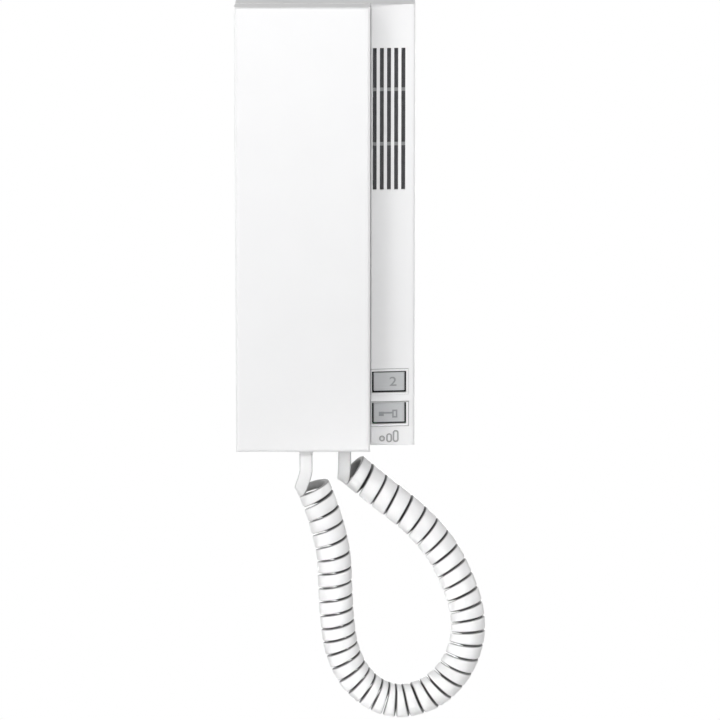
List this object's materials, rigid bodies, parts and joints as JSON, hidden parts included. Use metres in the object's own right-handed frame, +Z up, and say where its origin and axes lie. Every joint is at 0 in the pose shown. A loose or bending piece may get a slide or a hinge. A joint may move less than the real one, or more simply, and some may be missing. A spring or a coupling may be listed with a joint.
{
  "type": "slimline wall phone",
  "caption": "Slim wall station of a door-entry system: flat handset in a cradle, slotted side panel with two keys, and a hanging curly cord.",
  "frame": {"origin": "midway between the two wall screw holes, on the wall's surface", "axes": "+Z up along the station's height, +Y into the wall, +X to the right as seen from the front"},
  "size_m": [0.1194, 0.0384, 0.3458],
  "materials": {
    "white_gloss": "smooth gloss white moulding",
    "inner_plastic": "fine matt moulding",
    "grey_key": "satin grey keycap",
    "ivory_plastic": "smooth plunger plastic",
    "black_plastic": "fine matt black",
    "cord_plastic": "soft satin cord jacket",
    "gauze": "woven acoustic cloth",
    "cone_paper": "pressed paper cone",
    "steel": "zinc plated steel",
    "magnet": "dull ferrite",
    "board": "solder resist on laminate",
    "terminal_plastic": "satin green terminal plastic",
    "reed_glass": "clear green glass tube",
    "black_rubber": "soft matt rubber"
  },
  "bodies": {
    "base": {"back_plate": "inner_plastic", "base_housing": "white_gloss", "grille_frame": "grey_key", "grille_gauze": "gauze", "ringer_frame": "steel", "ringer_cone": "cone_paper", "ringer_magnet": "magnet", "circuit_board": "board", "board_screws": "steel", "terminal_block": "terminal_plastic", "terminal_screws": "steel", "reed_switch": "reed_glass", "cradle_magnets": "magnet", "housing_screws": "steel", "key_switches": "black_plastic", "volume_switch": "black_plastic", "hinge_pin": "steel", "base_gland": "cord_plastic", "handset_tail": "cord_plastic", "curly_cord": "cord_plastic", "base_tail": "cord_plastic"},
    "handset": {"handset_front": "white_gloss", "handset_back": "white_gloss", "receiver_capsule": "black_plastic", "receiver_ring": "black_rubber", "microphone_capsule": "steel", "microphone_boot": "black_rubber", "keeper_plates": "steel", "hook_magnet": "magnet", "handset_screws": "steel", "handset_gland": "cord_plastic"},
    "function_key": {"function_key": "grey_key", "function_plunger": "ivory_plastic"},
    "door_key": {"door_key": "grey_key"},
    "door_switch": {"door_plunger": "ivory_plastic"},
    "volume_knob": {"volume_knob": "grey_key"}
  },
  "joints": [
    {"name": "handset_lift", "type": "slide", "parent": "base", "child": "handset", "axis": [0, -1, 0], "range_m": [0, 0.06]},
    {"name": "function_key_press", "type": "slide", "parent": "base", "child": "function_key", "axis": [0, 1, 0], "range_m": [0, 0.0012], "stiffness_N_per_m": 1000, "springref_m": -0.0005},
    {"name": "door_key_press", "type": "hinge", "parent": "base", "child": "door_key", "pos_m": [0.031, -0.0176, -0.0835], "axis": [1, 0, 0], "range_deg": [0, 6], "stiffness_Nm_per_rad": 0.06, "springref_deg": -2.86},
    {"name": "door_switch_press", "type": "slide", "parent": "base", "child": "door_switch", "axis": [0, 1, 0], "range_m": [0, 0.0008]},
    {"name": "volume_slide", "type": "slide", "parent": "base", "child": "volume_knob", "axis": [1, 0, 0], "range_m": [-0.003, 0.003]}
  ],
  "couplings": [
    {"joint": "door_switch_press", "follows": "door_key_press", "m_per_rad": 0.0075}
  ]
}
